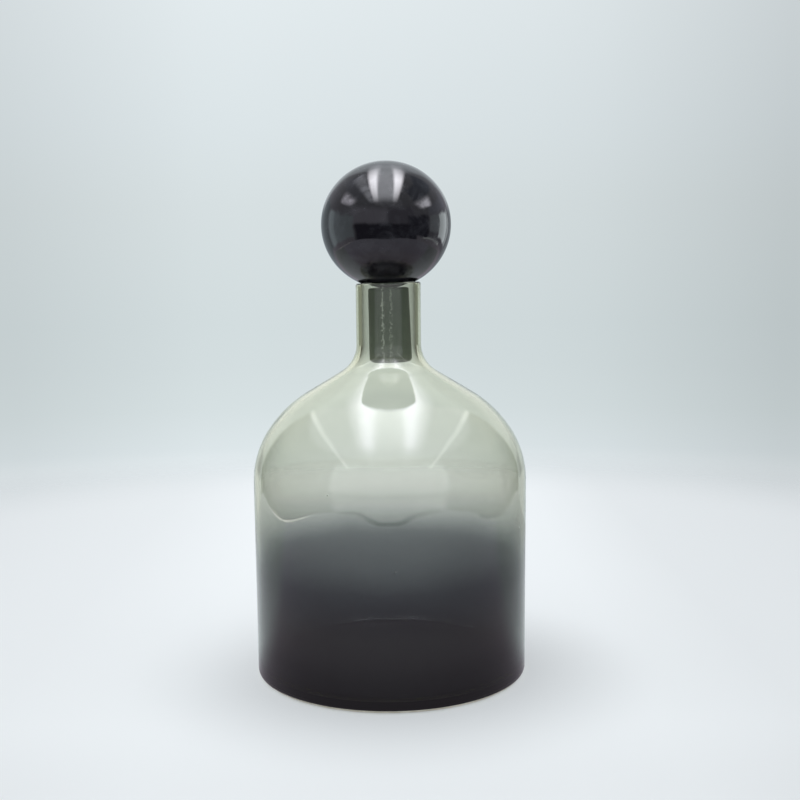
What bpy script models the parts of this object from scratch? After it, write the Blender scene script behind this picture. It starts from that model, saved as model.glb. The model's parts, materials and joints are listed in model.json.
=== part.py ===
"""A glass decanter with a ball stopper, at its real size.

The bottle is one blown shell: a flat base, an upright wall, a domed shoulder and a straight neck.
Its mouth is ground slightly askew, so the stopper that rests on it leans a little with it.
The stopper is a hollow ball that sits on the rim of the mouth, and a ground plug that is
cemented into the ball and hangs loosely in the neck. It lifts out straight up.

Metres, +Z up. The origin is the middle of the face that the decanter stands on.
"""

import bpy
from math import asin, cos, hypot, pi, radians, sin, tan

# Bottle, outside
BODY_RADIUS = 0.0900
FOOT_TAPER = 0.0004  # how much narrower the wall is at its foot than at its top
HEEL_ROUND = 0.0040
WALL_HEIGHT = 0.1290
SHOULDER_ARC_RADIUS = 0.0600
SHOULDER_TURN = radians(33)
DOME_ARC_RADIUS = 0.0800
DOME_TURN = radians(59)  # from upright, where the dome runs straight up to the neck
NECK_FILLET = 0.0206
NECK_RADIUS = 0.02125
NECK_LENGTH = 0.0401  # the straight part, up to the rim
RIM_ROUND = 0.0013
MOUTH_TILT = radians(1.5)  # the +X side of the rim is the higher one

# Bottle, inside and underneath
BODY_THICKNESS = 0.0030
NECK_THICKNESS = 0.0039
BASE_THICKNESS = 0.0060
INNER_HEEL_ROUND = 0.0060
STAND_WIDTH = 0.0120  # the flat ring that the bottle stands on
RECESS_SLOPE = 0.0040
RECESS_DEPTH = 0.0010

# Stopper
BALL_RADIUS = 0.0422
BALL_HALF_HEIGHT = 0.0411
BALL_THICKNESS = 0.0030
PLUG_CLEARANCE = 0.00345  # all round, between the plug's lower end and the neck
PLUG_FLARE = 0.0006  # how much wider the plug is at its lower end than at its top
PLUG_LENGTH = 0.0488
PLUG_THICKNESS = 0.0025
PLUG_END_ROUND = 0.0033
PLUG_TOP_ROUND = 0.0010
PLUG_LEDGE = 0.0070  # from the plug's top edge in to its spigot
SPIGOT_PROUD = 0.0020  # how far the spigot stands into the ball's hollow
SEAT_GAP = 0.0003  # between pieces that rest on or sit in each other

# Facets round each piece, and along its outline
BOTTLE_STEPS = 60
BALL_STEPS = 40
PLUG_STEPS = 32
ARC_POINTS_PER_QUARTER = 12
FILLET_POINTS_PER_QUARTER = 5
BALL_POINTS = 16  # from the ball's top to its hole, outside
BALL_INNER_POINTS = 10
SHARP_ANGLE = radians(35)

# Limits
RIM_ROUND_SHARE = 0.45  # the rim's round is at most this share of the neck's thickness
HOLLOW_ROUND_SHARE = 0.8  # the plug's inner round is at most this share of its hollow's radius
SEAT_SEARCH_STEPS = 60
MERGE_DISTANCE = 0.0001
SEAT_MARK_SIZE = 0.02

# Sizes that follow from the ones above
FOOT_RADIUS = BODY_RADIUS - FOOT_TAPER
BORE_RADIUS = NECK_RADIUS - NECK_THICKNESS
INNER_BODY_RADIUS = BODY_RADIUS - BODY_THICKNESS
INNER_FOOT_RADIUS = FOOT_RADIUS - BODY_THICKNESS
MOUTH_ROUND = min(RIM_ROUND, RIM_ROUND_SHARE * NECK_THICKNESS)
PLUG_END_RADIUS = BORE_RADIUS - PLUG_CLEARANCE
PLUG_TOP_RADIUS = PLUG_END_RADIUS - PLUG_FLARE
SPIGOT_RADIUS = PLUG_TOP_RADIUS - PLUG_LEDGE
BALL_HOLE_RADIUS = SPIGOT_RADIUS + SEAT_GAP


def arc(centre_x, centre_z, radius, start, end, points_per_quarter):
    """Points on a round stretch of an outline, both ends included. Angles run from +X to +Z."""
    count = max(2, round(abs(end - start) / (pi / 2) * points_per_quarter))
    angles = [start + (end - start) * i / count for i in range(count + 1)]
    return [(centre_x + radius * cos(a), centre_z + radius * sin(a)) for a in angles]


def bottle_side(body_radius, foot_radius, neck_radius, offset, foot_height):
    """One face of the bottle's side, from the foot of the wall up to the foot of the neck.

    The same outline serves both faces: offset is how far the face lies inside the outer one.
    """
    points = [(foot_radius, foot_height)]
    shoulder = SHOULDER_ARC_RADIUS - offset
    shoulder_x = body_radius - shoulder
    points += arc(shoulder_x, WALL_HEIGHT, shoulder, 0, SHOULDER_TURN, ARC_POINTS_PER_QUARTER)
    dome = DOME_ARC_RADIUS - offset
    dome_x = points[-1][0] - dome * cos(SHOULDER_TURN)
    dome_z = points[-1][1] - dome * sin(SHOULDER_TURN)
    points += arc(dome_x, dome_z, dome, SHOULDER_TURN, DOME_TURN, ARC_POINTS_PER_QUARTER)[1:]
    fillet = NECK_FILLET + offset
    fillet_x = neck_radius + fillet
    slope_end_x = fillet_x - fillet * cos(DOME_TURN)
    slope_rise = (points[-1][0] - slope_end_x) / tan(DOME_TURN)
    fillet_z = points[-1][1] + slope_rise + fillet * sin(DOME_TURN)
    points += arc(fillet_x, fillet_z, fillet, pi + DOME_TURN, pi, ARC_POINTS_PER_QUARTER)
    return points


def bottle_outline():
    """From the middle of the inner floor, up inside, over the rim, and down the outside."""
    outer = bottle_side(BODY_RADIUS, FOOT_RADIUS, NECK_RADIUS, 0, HEEL_ROUND)
    inner = bottle_side(
        INNER_BODY_RADIUS, INNER_FOOT_RADIUS, BORE_RADIUS, BODY_THICKNESS,
        BASE_THICKNESS + INNER_HEEL_ROUND,
    )
    mouth_z = outer[-1][1] + NECK_LENGTH
    points = [(0, BASE_THICKNESS)]
    points += arc(
        INNER_FOOT_RADIUS - INNER_HEEL_ROUND, BASE_THICKNESS + INNER_HEEL_ROUND,
        INNER_HEEL_ROUND, -pi / 2, 0, FILLET_POINTS_PER_QUARTER,
    )
    points += inner[1:]
    rim_z = mouth_z - MOUTH_ROUND
    points += arc(BORE_RADIUS + MOUTH_ROUND, rim_z, MOUTH_ROUND, pi, pi / 2, FILLET_POINTS_PER_QUARTER)
    points += arc(NECK_RADIUS - MOUTH_ROUND, rim_z, MOUTH_ROUND, pi / 2, 0, FILLET_POINTS_PER_QUARTER)
    points += reversed(outer[1:])
    points += arc(FOOT_RADIUS - HEEL_ROUND, HEEL_ROUND, HEEL_ROUND, 0, -pi / 2, FILLET_POINTS_PER_QUARTER)
    stand_inner = FOOT_RADIUS - HEEL_ROUND - STAND_WIDTH
    points += [(stand_inner, 0), (stand_inner - RECESS_SLOPE, RECESS_DEPTH), (0, RECESS_DEPTH)]
    return points, mouth_z, outer[-1][1]


def beside_ball(turn, distance):
    """A point at a distance from the ball's skin. The turn is measured from its lowest point."""
    x, z = BALL_RADIUS * sin(turn), -BALL_HALF_HEIGHT * cos(turn)
    normal_x, normal_z = x / BALL_RADIUS**2, z / BALL_HALF_HEIGHT**2
    length = hypot(normal_x, normal_z)
    return x + distance * normal_x / length, z + distance * normal_z / length


def ball_seat_height():
    """How far the ball's centre lies above the plane of the mouth when it rests on the rim.

    The rim's inner edge is round, so the ball is set against the centre of that round.
    """
    low, high = 0.0, pi / 2
    for _ in range(SEAT_SEARCH_STEPS):
        turn = (low + high) / 2
        x, z = beside_ball(turn, MOUTH_ROUND + SEAT_GAP)
        if x < BORE_RADIUS + MOUTH_ROUND:
            low = turn
        else:
            high = turn
    return -MOUTH_ROUND - z


def ellipse_side(radius, half_height, centre_z, hole_radius, count):
    """The side of a flattened ball, from its top down to a hole round its lowest point."""
    hole_turn = pi - asin(hole_radius / radius)
    turns = [hole_turn * i / count for i in range(count + 1)]
    return [(radius * sin(t), centre_z + half_height * cos(t)) for t in turns]


def ball_outline(centre_z):
    """From the top of the ball down its outside to the hole, and back up its inside."""
    outer = ellipse_side(BALL_RADIUS, BALL_HALF_HEIGHT, centre_z, BALL_HOLE_RADIUS, BALL_POINTS)
    inner = ellipse_side(
        BALL_RADIUS - BALL_THICKNESS, BALL_HALF_HEIGHT - BALL_THICKNESS, centre_z,
        BALL_HOLE_RADIUS, BALL_INNER_POINTS,
    )
    return [(0, outer[0][1])] + outer[1:] + list(reversed(inner[1:])) + [(0, inner[0][1])]


def plug_outline(top_z):
    """From the floor of the plug's hollow, up inside, over the spigot, and down the outside."""
    end_z = top_z - PLUG_LENGTH
    hollow = PLUG_TOP_RADIUS - PLUG_THICKNESS
    spigot_bore = SPIGOT_RADIUS - PLUG_THICKNESS
    spigot_z = top_z + BALL_THICKNESS + SPIGOT_PROUD
    floor_z = end_z + PLUG_THICKNESS
    hollow_round = min(PLUG_END_ROUND, HOLLOW_ROUND_SHARE * hollow)
    points = [(0, floor_z)]
    points += arc(
        hollow - hollow_round, floor_z + hollow_round, hollow_round, -pi / 2, 0,
        FILLET_POINTS_PER_QUARTER,
    )
    points += [(hollow, top_z - PLUG_THICKNESS), (spigot_bore, top_z - PLUG_THICKNESS)]
    points += [(spigot_bore, spigot_z), (SPIGOT_RADIUS, spigot_z), (SPIGOT_RADIUS, top_z)]
    points += arc(
        PLUG_TOP_RADIUS - PLUG_TOP_ROUND, top_z - PLUG_TOP_ROUND, PLUG_TOP_ROUND, pi / 2, 0,
        FILLET_POINTS_PER_QUARTER,
    )
    points += arc(
        PLUG_END_RADIUS - PLUG_END_ROUND, end_z + PLUG_END_ROUND, PLUG_END_ROUND, 0, -pi / 2,
        FILLET_POINTS_PER_QUARTER,
    )
    points.append((0, end_z))
    return points


def material(name, colour, roughness, transmission=0.0):
    """A Principled finish. Colours are linear."""
    made = bpy.data.materials.new(name)
    made.use_nodes = True
    shader = made.node_tree.nodes["Principled BSDF"]
    shader.inputs["Base Color"].default_value = (*colour, 1)
    shader.inputs["Roughness"].default_value = roughness
    shader.inputs["Metallic"].default_value = 0
    shader.inputs["Transmission Weight"].default_value = transmission
    made.diffuse_color = (*colour, 1)
    return made


def turned(name, outline, steps, finish, collection):
    """Turns an outline in the XZ plane about Z into a closed body with smooth sides."""
    sketch = bpy.data.meshes.new(name)
    edges = [(i, i + 1) for i in range(len(outline) - 1)]
    sketch.from_pydata([(x, 0, z) for x, z in outline], edges, [])
    made = bpy.data.objects.new(name, sketch)
    collection.objects.link(made)
    screw = made.modifiers.new("Turn", "SCREW")
    screw.axis = "Z"
    screw.steps = steps
    screw.render_steps = steps
    screw.use_merge_vertices = True
    screw.merge_threshold = MERGE_DISTANCE
    graph = bpy.context.evaluated_depsgraph_get()
    body = bpy.data.meshes.new_from_object(made.evaluated_get(graph))
    made.modifiers.remove(screw)
    made.data = body
    bpy.data.meshes.remove(sketch)
    body.name = name
    body.shade_smooth()
    body.set_sharp_from_angle(angle=SHARP_ANGLE)
    body.materials.append(finish)
    return made


def tilt_mouth(bottle, neck_z, mouth_z):
    """Leans the neck's upper rings, little by little, until the rim has its tilt."""
    for vertex in bottle.data.vertices:
        share = (vertex.co.z - neck_z) / (mouth_z - neck_z)
        if share > 0:
            vertex.co.z += share * vertex.co.x * tan(MOUTH_TILT)


def main():
    for old in list(bpy.data.objects):
        bpy.data.objects.remove(old)
    decanter = bpy.data.collections.new("decanter")
    bpy.context.scene.collection.children.link(decanter)

    smoked = material("smoked_clear_glass", (0.32, 0.36, 0.31), 0.03, transmission=0.9)
    black = material("black_glass", (0.010, 0.008, 0.012), 0.04)
    ground = material("ground_glass", (0.060, 0.070, 0.055), 0.45)

    outline, mouth_z, neck_z = bottle_outline()
    bottle = turned("bottle", outline, BOTTLE_STEPS, smoked, decanter)
    tilt_mouth(bottle, neck_z, mouth_z)

    # The stopper's own upright is square to the mouth, and its origin is the mouth's middle.
    seat = bpy.data.objects.new("stopper_seat", None)
    seat.empty_display_size = SEAT_MARK_SIZE
    seat.location = (0, 0, mouth_z)
    seat.rotation_euler = (0, -MOUTH_TILT, 0)
    decanter.objects.link(seat)

    ball_z = ball_seat_height()
    ball = turned("stopper_ball", ball_outline(ball_z), BALL_STEPS, black, decanter)
    ball.parent = seat
    plug_top_z = ball_z - BALL_HALF_HEIGHT
    plug = turned("stopper_plug", plug_outline(plug_top_z), PLUG_STEPS, ground, decanter)
    plug.parent = seat


main()
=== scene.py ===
# %% [markdown]
# A glass decanter with a ball stopper, dressed for a photograph.
#
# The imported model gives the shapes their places: a blown bottle, a black glass ball that rests on
# the rim, and a ground glass plug that hangs in the neck. The cells below make a finer copy of each
# of the three, because glass shows every facet, and then give each its finish. The last cells set
# up the table, the backdrop and the soft lights.

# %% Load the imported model
import json
from math import asin, cos, hypot, pi, radians, sin, tan

import bpy
from mathutils import Matrix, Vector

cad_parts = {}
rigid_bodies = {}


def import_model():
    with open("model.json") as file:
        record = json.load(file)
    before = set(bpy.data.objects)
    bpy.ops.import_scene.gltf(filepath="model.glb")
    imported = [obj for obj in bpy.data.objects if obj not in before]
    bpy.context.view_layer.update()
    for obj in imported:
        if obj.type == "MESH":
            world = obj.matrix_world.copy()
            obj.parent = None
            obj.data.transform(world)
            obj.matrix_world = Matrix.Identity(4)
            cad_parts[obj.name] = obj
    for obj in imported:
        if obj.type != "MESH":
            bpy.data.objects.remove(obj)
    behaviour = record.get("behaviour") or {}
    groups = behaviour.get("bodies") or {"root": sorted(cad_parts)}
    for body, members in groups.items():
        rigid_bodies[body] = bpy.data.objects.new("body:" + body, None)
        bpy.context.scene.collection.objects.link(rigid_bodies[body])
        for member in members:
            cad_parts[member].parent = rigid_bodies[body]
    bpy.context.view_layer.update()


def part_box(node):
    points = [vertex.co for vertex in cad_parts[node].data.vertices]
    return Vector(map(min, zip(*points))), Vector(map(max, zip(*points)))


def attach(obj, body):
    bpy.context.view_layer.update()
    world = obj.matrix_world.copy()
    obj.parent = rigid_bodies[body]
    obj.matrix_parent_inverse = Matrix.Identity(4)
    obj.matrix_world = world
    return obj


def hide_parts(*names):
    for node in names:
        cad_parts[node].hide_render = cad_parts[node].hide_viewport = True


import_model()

# %% [markdown]
# The photograph was taken from a little above the rim, with the camera turned down by 6.6 degrees
# and leaning by half a degree. The camera comes first, since everything else is judged through it.
# Its lens is written for a picture 36 mm wide.

# %% Place the camera
CAMERA_PLACE = (0.0071, -0.780, 0.2714)
CAMERA_DOWN = radians(6.61)
CAMERA_LEAN = radians(-0.5)
PICTURE_WIDTH_MM = 36.0
LENS_MM = 53.48


def placed(name, data):
    """A new object in the scene."""
    made = bpy.data.objects.new(name, data)
    bpy.context.scene.collection.objects.link(made)
    return made


camera_data = bpy.data.cameras.new("camera")
camera_data.sensor_width = PICTURE_WIDTH_MM
camera_data.lens = LENS_MM
camera = placed("camera", camera_data)
turn_down = Matrix.Rotation(pi / 2 - CAMERA_DOWN, 4, "X")
lean = Matrix.Rotation(CAMERA_LEAN, 4, "Z")
camera.matrix_world = Matrix.Translation(CAMERA_PLACE) @ turn_down @ lean
bpy.context.scene.camera = camera
print("camera at", CAMERA_PLACE)

# %% [markdown]
# The bottle's outline runs from the middle of its inner floor, up the inside, over the rim, and
# down the outside to the underneath. It is a chain of arcs and straight lines: heel, upright wall,
# a tight shoulder, a wider dome, and the hollow curve that runs up into the neck. The sizes are the
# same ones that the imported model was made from, so the finer shape lies on the plain one.

# %% The bottle's sizes, in metres
BODY_RADIUS = 0.0900
FOOT_TAPER = 0.0004
HEEL_ROUND = 0.0040
WALL_HEIGHT = 0.1290
SHOULDER_ARC_RADIUS = 0.0600
SHOULDER_TURN = radians(33)
DOME_ARC_RADIUS = 0.0800
DOME_TURN = radians(59)
NECK_FILLET = 0.0206
NECK_RADIUS = 0.02125
NECK_LENGTH = 0.0401
RIM_ROUND = 0.0013
MOUTH_TILT = radians(1.5)
BODY_THICKNESS = 0.0030
NECK_THICKNESS = 0.0039
BASE_THICKNESS = 0.0060
INNER_HEEL_ROUND = 0.0060
STAND_WIDTH = 0.0120
RECESS_SLOPE = 0.0040
RECESS_DEPTH = 0.0010

FOOT_RADIUS = BODY_RADIUS - FOOT_TAPER
BORE_RADIUS = NECK_RADIUS - NECK_THICKNESS
INNER_FOOT_RADIUS = FOOT_RADIUS - BODY_THICKNESS
print("bore in mm", round(2000 * BORE_RADIUS, 1))

# %% [markdown]
# These helpers make every turned piece. Two lay the outline's points along an arc or a straight
# line, and the last one spins the outline about the upright axis. Real makers turn or blow such
# pieces, so a spun outline is the honest way, and it keeps the walls even. The steps are fine
# enough that no facet shows in a reflection.

# %% Helpers for turned pieces
ARC_STEPS_PER_QUARTER = 80
ROUND_STEPS_PER_QUARTER = 10
SHARP_EDGE = radians(40)
ON_AXIS = 1e-9


def arc(centre_x, centre_z, radius, start, end, per_quarter=ARC_STEPS_PER_QUARTER):
    """Points on a round stretch of an outline, both ends included. Angles run from +X to +Z."""
    count = max(2, round(abs(end - start) / (pi / 2) * per_quarter))
    angles = [start + (end - start) * i / count for i in range(count + 1)]
    return [(centre_x + radius * cos(a), centre_z + radius * sin(a)) for a in angles]


def straight(start, end, count):
    """Points between two outline points, both left out."""
    shares = [i / count for i in range(1, count)]
    return [(start[0] + (end[0] - start[0]) * s, start[1] + (end[1] - start[1]) * s) for s in shares]


def mesh_piece(name, points, faces):
    """A piece made of points and faces."""
    mesh = bpy.data.meshes.new(name)
    mesh.from_pydata(points, [], faces)
    return placed(name, mesh)


def turned(name, outline, steps):
    """A closed body. Its outline leaves the axis along the inside and comes back along the outside."""
    points, faces = [], []
    for x, z in outline:
        turns = [2 * pi * k / steps for k in range(1 if x < ON_AXIS else steps)]
        points.append([(x * cos(turn), x * sin(turn), z) for turn in turns])
    starts = [sum(len(ring) for ring in points[:i]) for i in range(len(points))]
    for i in range(len(points) - 1):
        low, high = len(points[i]), len(points[i + 1])
        for k in range(steps):
            k_next = (k + 1) % steps
            a, b = starts[i] + k % low, starts[i] + k_next % low
            c, d = starts[i + 1] + k_next % high, starts[i + 1] + k % high
            faces.append([a, b, c] if c == d else [a, c, d] if a == b else [a, b, c, d])
    piece = mesh_piece(name, [point for ring in points for point in ring], faces)
    piece.data.flip_normals()
    piece.data.shade_smooth()
    piece.data.set_sharp_from_angle(angle=SHARP_EDGE)
    return piece


# %% Spin the bottle
BOTTLE_STEPS = 192
WALL_STEPS = 24
SLOPE_STEPS = 4
NECK_STEPS = 12
FLOOR_STEPS = 6


def bottle_side(body_radius, foot_radius, neck_radius, offset, foot_height):
    """One face of the side, from its foot up to the neck, lying offset inside the outer face."""
    shoulder = SHOULDER_ARC_RADIUS - offset
    points = arc(body_radius - shoulder, WALL_HEIGHT, shoulder, 0, SHOULDER_TURN)
    foot = (foot_radius, foot_height)
    wall = [foot] + straight(foot, points[0], WALL_STEPS)
    dome = DOME_ARC_RADIUS - offset
    dome_x = points[-1][0] - dome * cos(SHOULDER_TURN)
    dome_z = points[-1][1] - dome * sin(SHOULDER_TURN)
    points += arc(dome_x, dome_z, dome, SHOULDER_TURN, DOME_TURN)[1:]
    fillet = NECK_FILLET + offset
    fillet_x = neck_radius + fillet
    rise = (points[-1][0] - fillet_x + fillet * cos(DOME_TURN)) / tan(DOME_TURN)
    fillet_z = points[-1][1] + rise + fillet * sin(DOME_TURN)
    hollow = arc(fillet_x, fillet_z, fillet, pi + DOME_TURN, pi)
    return wall + points + straight(points[-1], hollow[0], SLOPE_STEPS) + hollow


outer = bottle_side(BODY_RADIUS, FOOT_RADIUS, NECK_RADIUS, 0, HEEL_ROUND)
inner = bottle_side(
    BODY_RADIUS - BODY_THICKNESS, INNER_FOOT_RADIUS, BORE_RADIUS, BODY_THICKNESS,
    BASE_THICKNESS + INNER_HEEL_ROUND,
)
neck_z = outer[-1][1]
mouth_z = neck_z + NECK_LENGTH
rim_z = mouth_z - RIM_ROUND
inner_heel = arc(
    INNER_FOOT_RADIUS - INNER_HEEL_ROUND, BASE_THICKNESS + INNER_HEEL_ROUND, INNER_HEEL_ROUND,
    -pi / 2, 0, ROUND_STEPS_PER_QUARTER,
)
rim_in = arc(BORE_RADIUS + RIM_ROUND, rim_z, RIM_ROUND, pi, pi / 2, ROUND_STEPS_PER_QUARTER)
rim_out = arc(NECK_RADIUS - RIM_ROUND, rim_z, RIM_ROUND, pi / 2, 0, ROUND_STEPS_PER_QUARTER)
heel = arc(FOOT_RADIUS - HEEL_ROUND, HEEL_ROUND, HEEL_ROUND, 0, -pi / 2, ROUND_STEPS_PER_QUARTER)
stand_inner = FOOT_RADIUS - HEEL_ROUND - STAND_WIDTH
floor_middle, recess_middle = (0, BASE_THICKNESS), (0, RECESS_DEPTH)
recess_edge = (stand_inner - RECESS_SLOPE, RECESS_DEPTH)
bottle_outline = (
    [floor_middle] + straight(floor_middle, inner_heel[0], FLOOR_STEPS) + inner_heel
    + inner[1:] + straight(inner[-1], rim_in[0], NECK_STEPS) + rim_in + rim_out
    + straight(rim_out[-1], outer[-1], NECK_STEPS) + list(reversed(outer[1:])) + heel
    + [(stand_inner, 0), recess_edge] + straight(recess_edge, recess_middle, FLOOR_STEPS)
    + [recess_middle]
)
bottle = turned("bottle_shell", bottle_outline, BOTTLE_STEPS)
for vertex in bottle.data.vertices:
    share = (vertex.co.z - neck_z) / (mouth_z - neck_z)
    if share > 0:
        vertex.co.z += share * vertex.co.x * tan(MOUTH_TILT)
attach(bottle, "bottle")
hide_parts("bottle")
print("bottle outline", len(bottle_outline), "points, mouth at", round(1000 * mouth_z, 1), "mm")

# %% [markdown]
# The stopper sits square to the mouth, and the mouth is ground slightly askew, so the stopper
# leans with it. The ball could be a squashed sphere and the plug a cylinder, but spun outlines
# also give the ball its hole, and the plug the spigot that fills it. Both are made about their own
# axis, with the middle of the mouth as their zero, and then leaned and lifted in their meshes.

# %% The stopper's sizes and its lean
BALL_RADIUS = 0.0422
BALL_HALF_HEIGHT = 0.0411
BALL_THICKNESS = 0.0030
PLUG_CLEARANCE = 0.00345
PLUG_FLARE = 0.0006
PLUG_LENGTH = 0.0488
PLUG_THICKNESS = 0.0025
PLUG_END_ROUND = 0.0033
PLUG_TOP_ROUND = 0.0010
PLUG_LEDGE = 0.0070
SPIGOT_PROUD = 0.0020
SEAT_GAP = 0.0003
PLUG_END_RADIUS = BORE_RADIUS - PLUG_CLEARANCE
PLUG_TOP_RADIUS = PLUG_END_RADIUS - PLUG_FLARE
SPIGOT_RADIUS = PLUG_TOP_RADIUS - PLUG_LEDGE
BALL_HOLE_RADIUS = SPIGOT_RADIUS + SEAT_GAP
SEAT_SEARCH_STEPS = 60

seat = Matrix.Translation((0, 0, mouth_z)) @ Matrix.Rotation(-MOUTH_TILT, 4, "Y")


def beside_ball(turn, distance):
    """A point at a distance from the ball's skin. The turn is measured from its lowest point."""
    x, z = BALL_RADIUS * sin(turn), -BALL_HALF_HEIGHT * cos(turn)
    normal_x, normal_z = x / BALL_RADIUS**2, z / BALL_HALF_HEIGHT**2
    length = hypot(normal_x, normal_z)
    return x + distance * normal_x / length, z + distance * normal_z / length


low_turn, high_turn = 0.0, pi / 2
for _ in range(SEAT_SEARCH_STEPS):
    middle_turn = (low_turn + high_turn) / 2
    rest_x, rest_z = beside_ball(middle_turn, RIM_ROUND + SEAT_GAP)
    if rest_x < BORE_RADIUS + RIM_ROUND:
        low_turn = middle_turn
    else:
        high_turn = middle_turn
ball_z = -RIM_ROUND - rest_z
plug_top_z = ball_z - BALL_HALF_HEIGHT
print("ball's middle is", round(1000 * ball_z, 1), "mm above the mouth")

# %% Spin the ball
BALL_STEPS = 160
BALL_OUTLINE_STEPS = 96


def ball_side(radius, half_height):
    """The side of the slightly flattened ball, from its top down to the hole underneath."""
    hole_turn = pi - asin(BALL_HOLE_RADIUS / radius)
    turns = [hole_turn * i / BALL_OUTLINE_STEPS for i in range(BALL_OUTLINE_STEPS + 1)]
    return [(radius * sin(t), ball_z + half_height * cos(t)) for t in turns]


ball_outside = ball_side(BALL_RADIUS, BALL_HALF_HEIGHT)
ball_inside = ball_side(BALL_RADIUS - BALL_THICKNESS, BALL_HALF_HEIGHT - BALL_THICKNESS)
ball_outline = [(0, ball_outside[0][1])] + ball_outside[1:] + list(reversed(ball_inside[1:]))
ball_outline.append((0, ball_inside[0][1]))
ball_outline.reverse()
ball = turned("ball_shell", ball_outline, BALL_STEPS)
ball.data.transform(seat)
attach(ball, "stopper")
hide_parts("stopper_ball")
print("ball outline", len(ball_outline), "points")

# %% Spin the plug
PLUG_STEPS = 128
PLUG_SIDE_STEPS = 24

plug_end_z = plug_top_z - PLUG_LENGTH
plug_hollow = PLUG_TOP_RADIUS - PLUG_THICKNESS
spigot_bore = SPIGOT_RADIUS - PLUG_THICKNESS
spigot_z = plug_top_z + BALL_THICKNESS + SPIGOT_PROUD
plug_floor_z = plug_end_z + PLUG_THICKNESS
plug_outline = [(0, plug_floor_z)] + arc(
    plug_hollow - PLUG_END_ROUND, plug_floor_z + PLUG_END_ROUND, PLUG_END_ROUND, -pi / 2, 0,
    ROUND_STEPS_PER_QUARTER,
)
under_top_z = plug_top_z - PLUG_THICKNESS
plug_outline += [(plug_hollow, under_top_z), (spigot_bore, under_top_z)]
plug_outline += [(spigot_bore, spigot_z), (SPIGOT_RADIUS, spigot_z), (SPIGOT_RADIUS, plug_top_z)]
plug_shoulder = arc(
    PLUG_TOP_RADIUS - PLUG_TOP_ROUND, plug_top_z - PLUG_TOP_ROUND, PLUG_TOP_ROUND, pi / 2, 0,
    ROUND_STEPS_PER_QUARTER,
)
plug_heel = arc(
    PLUG_END_RADIUS - PLUG_END_ROUND, plug_end_z + PLUG_END_ROUND, PLUG_END_ROUND, 0, -pi / 2,
    ROUND_STEPS_PER_QUARTER,
)
plug_side = straight(plug_shoulder[-1], plug_heel[0], PLUG_SIDE_STEPS)
plug_outline += plug_shoulder + plug_side + plug_heel
plug_outline.append((0, plug_end_z))
plug = turned("plug_body", plug_outline, PLUG_STEPS)
plug.data.transform(seat)
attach(plug, "stopper")
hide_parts("stopper_plug")
print("faces", {piece.name: len(piece.data.polygons) for piece in (bottle, ball, plug)})

# %% [markdown]
# The foot is ground flat and its edge is left bare, so a thin cream line runs round the very bottom
# of the dark glass. It is the same blown piece with another finish, so its faces stay in the
# bottle's mesh and get a second material there.

# %% Mark the faces of the foot's edge
FOOT_EDGE_HEIGHT = 0.0024
FOOT_FACES = 1

edge_faces = 0
for face in bottle.data.polygons:
    on_the_outside = hypot(face.center.x, face.center.y) > stand_inner
    if face.center.z < FOOT_EDGE_HEIGHT and on_the_outside:
        face.material_index = FOOT_FACES
        edge_faces += 1
print("faces on the foot's edge", edge_faces)

# %% [markdown]
# Node trees are easier to read when each node takes one line. These helpers add a node, set its
# plain values, and link what comes in from other nodes. Those for Math and Mix nodes give back the
# result and not the node.

# %% Helpers for node trees


def feed(tree, socket, value):
    """Links another node's socket to this one, or sets its plain value."""
    if isinstance(value, bpy.types.NodeSocket):
        tree.links.new(value, socket)
    elif socket.type == "RGBA":
        socket.default_value = (*value, 1)
    else:
        socket.default_value = value


def add(tree, kind, inputs=(), **settings):
    """Adds a ShaderNode. Inputs are {socket: a value, or another node's socket}."""
    node = tree.nodes.new("ShaderNode" + kind)
    for key, value in settings.items():
        setattr(node, key, value)
    for socket, value in dict(inputs).items():
        feed(tree, node.inputs[socket], value)
    return node


def set_plain(node, **values):
    """Plain values on a node's own sockets. An underscore stands for a space in a name."""
    for name, value in values.items():
        node.inputs[name.replace("_", " ")].default_value = value


def new_material(name):
    """An empty material, its tree and its Principled shader."""
    made = bpy.data.materials.new(name)
    made.use_nodes = True
    return made, made.node_tree, made.node_tree.nodes["Principled BSDF"]


# %% Helpers for numbers and places


def maths(tree, operation, *values, clamp=False):
    """The result of one Math node."""
    inputs = dict(enumerate(values))
    return add(tree, "Math", inputs, operation=operation, use_clamp=clamp).outputs[0]


def minus(tree, first, second):
    """The first number less the second."""
    return maths(tree, "SUBTRACT", first, second)


def product(tree, first, *others):
    """The product of two or more numbers."""
    for other in others:
        first = maths(tree, "MULTIPLY", first, other)
    return first


def vector_maths(tree, operation, *values, result="Vector"):
    """The result of one Vector Math node. A length or a dot product is its Value."""
    return add(tree, "VectorMath", dict(enumerate(values)), operation=operation).outputs[result]


def xyz(tree, vector):
    """The three numbers of a vector."""
    return add(tree, "SeparateXYZ", {0: vector}).outputs


def soft_step(tree, value, start, end, low=0.0, high=1.0):
    """Low before start and high after end, with a soft change between them."""
    inputs = {"Value": value, 1: start, 2: end, 3: low, 4: high}
    return add(tree, "MapRange", inputs, interpolation_type="SMOOTHSTEP").outputs[0]


def between(tree, value, low, high, edge):
    """1 between low and high, and 0 outside, with soft edges."""
    rising = soft_step(tree, value, low - edge, low + edge)
    falling = soft_step(tree, value, high - edge, high + edge)
    return minus(tree, rising, falling)


def noise(tree, place, **values):
    """Smooth noise from 0 to 1."""
    return add(tree, "TexNoise", {"Vector": place, **values}).outputs[0]


def bump(tree, depth, height, **under):
    """The normal of an uneven skin. One bump can lie on another, which is given as its Normal."""
    inputs = {"Strength": 1.0, "Distance": depth, "Height": height, **under}
    return add(tree, "Bump", inputs).outputs[0]


# %% Helpers for colours


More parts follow.
